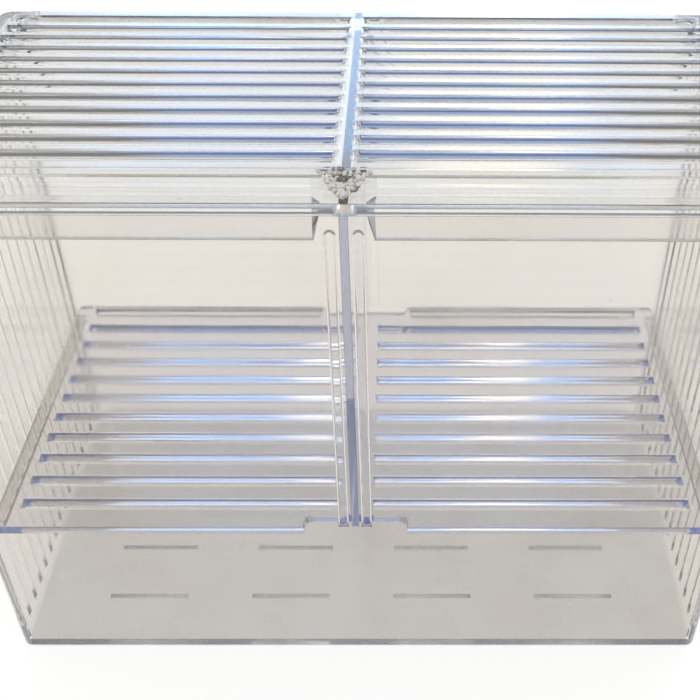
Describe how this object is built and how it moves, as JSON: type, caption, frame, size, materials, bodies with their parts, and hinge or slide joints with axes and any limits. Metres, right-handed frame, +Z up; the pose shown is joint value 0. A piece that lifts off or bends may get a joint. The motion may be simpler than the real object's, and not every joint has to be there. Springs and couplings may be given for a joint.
{
  "type": "fish breeding box",
  "caption": "Clear rectangular box with slotted ends, a slotted lid, an upright divider between rails and a slotted false floor at mid-height.",
  "frame": {"origin": "middle of the flat face that the tank stands on", "axes": "+X along the length, +Y from the plain front wall to the rear wall, +Z up"},
  "size_m": [0.159, 0.0826, 0.1235],
  "materials": {
    "tank": "clear polished polystyrene",
    "grate": "clear polished polystyrene",
    "divider": "clear polished polystyrene",
    "lid": "clear polished polystyrene"
  },
  "bodies": {
    "tank": {"tank": "tank"},
    "grate": {"grate": "grate"},
    "divider": {"divider": "divider"},
    "lid": {"lid": "lid"}
  },
  "joints": [
    {"name": "grate_lift", "type": "slide", "parent": "tank", "child": "grate", "axis": [0, 0, 1], "range_m": [0, 0.085]},
    {"name": "divider_lift", "type": "slide", "parent": "grate", "child": "divider", "axis": [0, 0, 1], "range_m": [0, 0.085]},
    {"name": "lid_lift", "type": "slide", "parent": "divider", "child": "lid", "axis": [0, 0, 1], "range_m": [0, 0.04]}
  ]
}
